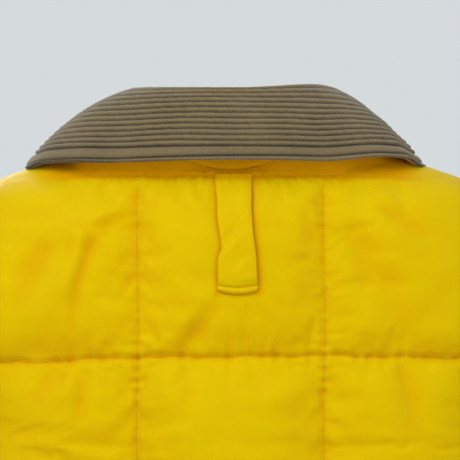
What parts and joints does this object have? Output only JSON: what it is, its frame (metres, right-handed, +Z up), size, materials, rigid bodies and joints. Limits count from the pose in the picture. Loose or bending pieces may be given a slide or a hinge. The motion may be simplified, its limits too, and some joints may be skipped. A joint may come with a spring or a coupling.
{
  "type": "turnout coat",
  "caption": "Quilted fire-style coat with a corduroy collar, a hang loop on the back, a zipped front under a storm flap with hook clasps, and two flapped pockets.",
  "frame": {"origin": "middle of the neck opening, level with the back neck seam, where a hanger comes out", "axes": "+Z up from hem to neck, +Y towards the back of the coat, +X to the left of the wearer"},
  "size_m": [0.7896, 0.257, 0.8504],
  "materials": {
    "shell": "satin",
    "wadding": "matte",
    "lining": "satin",
    "corduroy": "matte",
    "knit": "matte",
    "zip_tape": "matte",
    "label": "matte",
    "steel": "satin",
    "brass": "satin"
  },
  "bodies": {
    "torso": {"back_shell": "shell", "back_wadding": "wadding", "back_lining": "lining", "left_chest_shell": "shell", "left_chest_wadding": "wadding", "left_chest_lining": "lining", "right_chest_shell": "shell", "right_chest_wadding": "wadding", "right_chest_lining": "lining", "collar_stand": "shell", "collar_corduroy": "corduroy", "collar_under": "shell", "hang_loop": "shell", "neck_label": "label"},
    "collar_back": {"collar_back_corduroy": "corduroy", "collar_back_under": "shell"},
    "storm_flap": {"storm_flap": "shell", "clasp_1_base": "steel", "clasp_1_pin": "steel", "clasp_2_base": "steel", "clasp_2_pin": "steel", "clasp_3_base": "steel", "clasp_3_pin": "steel"},
    "zip_slider": {"zip_slider": "brass"},
    "zip_pull": {"zip_pull": "brass"},
    "clasp_1_lever": {"clasp_1_lever": "steel"},
    "clasp_2_lever": {"clasp_2_lever": "steel"},
    "clasp_3_lever": {"clasp_3_lever": "steel"},
    "left_front": {"left_front_shell": "shell", "left_front_wadding": "wadding", "left_front_lining": "lining", "left_zip_tape": "zip_tape", "left_pocket": "shell", "left_pocket_snap_stud": "steel"},
    "left_pocket_flap": {"left_pocket_flap": "shell", "left_pocket_snap_cap": "steel"},
    "left_sleeve": {"left_sleeve_shell": "shell", "left_sleeve_wadding": "wadding", "left_sleeve_lining": "lining", "left_wristlet": "knit"},
    "left_cuff_strap": {"left_cuff_strap": "shell"},
    "right_front": {"right_front_shell": "shell", "right_front_wadding": "wadding", "right_front_lining": "lining", "right_zip_tape": "zip_tape", "right_pocket": "shell", "right_pocket_snap_stud": "steel", "clasp_1_catch": "steel", "clasp_2_catch": "steel", "clasp_3_catch": "steel"},
    "right_pocket_flap": {"right_pocket_flap": "shell", "right_pocket_snap_cap": "steel"},
    "right_sleeve": {"right_sleeve_shell": "shell", "right_sleeve_wadding": "wadding", "right_sleeve_lining": "lining", "right_wristlet": "knit"},
    "right_cuff_strap": {"right_cuff_strap": "shell"}
  },
  "joints": [
    {"name": "collar_lift", "type": "hinge", "parent": "torso", "child": "collar_back", "pos_m": [0, 0.078, 0.0705], "axis": [1, 0, 0], "range_deg": [0, 85]},
    {"name": "left_front_open", "type": "hinge", "parent": "torso", "child": "left_front", "pos_m": [0.085, -0.0995, -0.1], "axis": [-0.2185, -0.0066, 0.9758], "range_deg": [0, 75]},
    {"name": "right_front_open", "type": "hinge", "parent": "torso", "child": "right_front", "pos_m": [-0.085, -0.0995, -0.1], "axis": [-0.2185, 0.0066, -0.9758], "range_deg": [0, 75]},
    {"name": "storm_flap_open", "type": "hinge", "parent": "left_front", "child": "storm_flap", "pos_m": [0.045, -0.10916, -0.43768], "axis": [0, 0.036, 0.9994], "range_deg": [0, 85]},
    {"name": "zip_slide", "type": "slide", "parent": "left_front", "child": "zip_slider", "axis": [0, -0.036, -0.9994], "range_m": [0, 0.6]},
    {"name": "zip_pull_swing", "type": "hinge", "parent": "zip_slider", "child": "zip_pull", "pos_m": [0, -0.10384, -0.13718], "axis": [0, -0.9994, 0.036], "range_deg": [-60, 60]},
    {"name": "clasp_1_release", "type": "hinge", "parent": "storm_flap", "child": "clasp_1_lever", "pos_m": [-0.028, -0.11809, -0.17719], "axis": [0, 0.036, 0.9994], "range_deg": [0, 100]},
    {"name": "clasp_2_release", "type": "hinge", "parent": "storm_flap", "child": "clasp_2_lever", "pos_m": [-0.028, -0.12518, -0.37406], "axis": [0, 0.036, 0.9994], "range_deg": [0, 100]},
    {"name": "clasp_3_release", "type": "hinge", "parent": "storm_flap", "child": "clasp_3_lever", "pos_m": [-0.028, -0.13227, -0.57094], "axis": [0, 0.036, 0.9994], "range_deg": [0, 100]},
    {"name": "left_pocket_flap_lift", "type": "hinge", "parent": "left_front", "child": "left_pocket_flap", "pos_m": [0.12415, -0.11201, -0.588], "axis": [-0.989, -0.1478, 0], "range_deg": [0, 95]},
    {"name": "right_pocket_flap_lift", "type": "hinge", "parent": "right_front", "child": "right_pocket_flap", "pos_m": [-0.12415, -0.11201, -0.588], "axis": [-0.989, 0.1478, 0], "range_deg": [0, 95]},
    {"name": "left_sleeve_raise", "type": "hinge", "parent": "torso", "child": "left_sleeve", "pos_m": [0.25, 0, -0.014], "axis": [0, -1, 0], "range_deg": [0, 45]},
    {"name": "right_sleeve_raise", "type": "hinge", "parent": "torso", "child": "right_sleeve", "pos_m": [-0.25, 0, -0.014], "axis": [0, 1, 0], "range_deg": [0, 45]},
    {"name": "left_cuff_strap_open", "type": "hinge", "parent": "left_sleeve", "child": "left_cuff_strap", "pos_m": [0.3845, -0.0342, -0.62], "axis": [0, 0, -1], "range_deg": [0, 80]},
    {"name": "right_cuff_strap_open", "type": "hinge", "parent": "right_sleeve", "child": "right_cuff_strap", "pos_m": [-0.3845, -0.0342, -0.62], "axis": [0, 0, 1], "range_deg": [0, 80]}
  ],
  "couplings": [
    {"joint": "right_front_open", "follows": "left_front_open", "ratio": 1}
  ]
}
